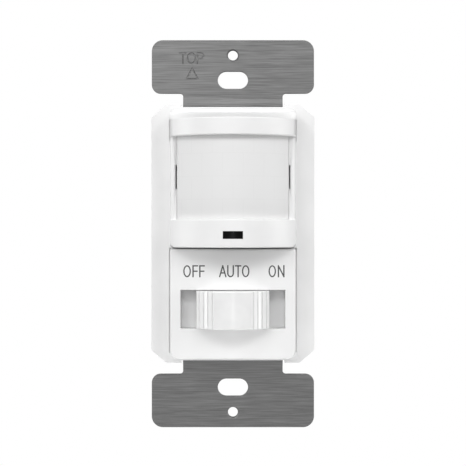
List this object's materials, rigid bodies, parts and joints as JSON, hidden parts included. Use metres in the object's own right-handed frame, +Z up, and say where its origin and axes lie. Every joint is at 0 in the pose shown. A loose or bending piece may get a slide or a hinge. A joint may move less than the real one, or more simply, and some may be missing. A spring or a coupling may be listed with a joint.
{
  "type": "motion sensor light switch",
  "caption": "Wall switch with a passive infrared motion sensor: bulging lens under a visor, dark light window, removable cover and an OFF, AUTO, ON slide knob on a steel mounting strap.",
  "frame": {"origin": "on the rear face of the strap's ears, midway between the two box slots", "axes": "+Z up along the strap, +X to the right seen from the front, the front looks along -Y"},
  "size_m": [0.044, 0.0462, 0.105],
  "materials": {
    "strap_steel": "brushed along its length, zinc plated",
    "white_housing": "satin moulded polycarbonate",
    "white_cover": "satin moulded polycarbonate",
    "white_knob": "satin moulded polycarbonate",
    "lens_plastic": "milky polyethylene, slightly clear",
    "black_plastic": "moulded nylon",
    "dark_window": "polished smoked acrylic",
    "rear_plastic": "fine spark-eroded polycarbonate",
    "zinc_screw": "zinc plated",
    "circuit_board": "green solder mask on glass epoxy",
    "led_epoxy": "red clear epoxy",
    "photocell_ceramic": "pale ceramic",
    "switch_phenolic": "brown phenolic",
    "tinned_steel": "tinned",
    "contact_copper": "bright",
    "chip_epoxy": "moulded epoxy",
    "header_plastic": "moulded nylon",
    "relay_case": "blue moulded polyester",
    "film_case": "yellow moulded box",
    "varistor_coat": "blue epoxy coat",
    "can_sleeve": "shrink sleeve",
    "ferrite": "fired ferrite",
    "fuse_ceramic": "pale ceramic",
    "resistor_coat": "blue-green lacquer",
    "terminal_brass": "stamped, bright",
    "terminal_nickel": "nickel plated",
    "green_screw": "green dyed zinc plating",
    "detector_can": "nickel plated",
    "detector_glass": "coated silicon window",
    "spacer_plastic": "moulded nylon",
    "trimmer_body": "blue moulded polyester",
    "dial_plastic": "moulded acetal"
  },
  "bodies": {
    "housing": {"mounting_strap": "strap_steel", "front_housing": "white_housing", "fresnel_lens": "lens_plastic", "lens_retainer": "black_plastic", "sensor_window": "dark_window", "rear_housing": "rear_plastic", "housing_screws": "zinc_screw", "control_board": "circuit_board", "indicator_led": "led_epoxy", "photocell": "photocell_ceramic", "slide_switch_base": "switch_phenolic", "slide_switch_shell": "tinned_steel", "microcontroller": "chip_epoxy", "amplifier_chip": "chip_epoxy", "power_board": "circuit_board", "board_header": "header_plastic", "relay": "relay_case", "film_capacitor": "film_case", "varistor": "varistor_coat", "bulk_capacitor": "can_sleeve", "filter_capacitor": "can_sleeve", "choke": "ferrite", "rectifier": "chip_epoxy", "fuse": "fuse_ceramic", "dropper_resistor": "resistor_coat", "clamp_plates": "terminal_brass", "ground_terminal": "tinned_steel", "ground_screw": "green_screw", "pir_detector": "detector_can", "pir_filter": "detector_glass", "pir_spacer": "spacer_plastic", "pir_leads": "detector_can", "time_trimmer": "trimmer_body", "range_trimmer": "trimmer_body", "light_trimmer": "trimmer_body", "line_terminal": "terminal_brass", "load_terminal": "terminal_brass", "neutral_terminal": "terminal_nickel", "brass_terminal_screws": "terminal_brass", "neutral_terminal_screw": "terminal_nickel"},
    "knob": {"slide_knob": "white_knob", "switch_actuator": "black_plastic", "switch_contact": "contact_copper"},
    "cover": {"cover_plate": "white_cover"},
    "time_setting": {"time_dial": "dial_plastic"},
    "range_setting": {"range_dial": "dial_plastic"},
    "light_setting": {"light_dial": "dial_plastic"}
  },
  "joints": [
    {"name": "knob_slide", "type": "slide", "parent": "housing", "child": "knob", "axis": [1, 0, 0], "range_m": [-0.004, 0.004]},
    {"name": "cover_pull", "type": "slide", "parent": "housing", "child": "cover", "axis": [0, -1, 0], "range_m": [0, 0.016]},
    {"name": "time_turn", "type": "hinge", "parent": "housing", "child": "time_setting", "pos_m": [-0.0095, -0.0052, -0.0111], "axis": [0, -1, 0], "range_deg": [-135, 135]},
    {"name": "range_turn", "type": "hinge", "parent": "housing", "child": "range_setting", "pos_m": [0, -0.0052, -0.0111], "axis": [0, -1, 0], "range_deg": [-135, 135]},
    {"name": "light_turn", "type": "hinge", "parent": "housing", "child": "light_setting", "pos_m": [0.0095, -0.0052, -0.0111], "axis": [0, -1, 0], "range_deg": [-135, 135]}
  ]
}
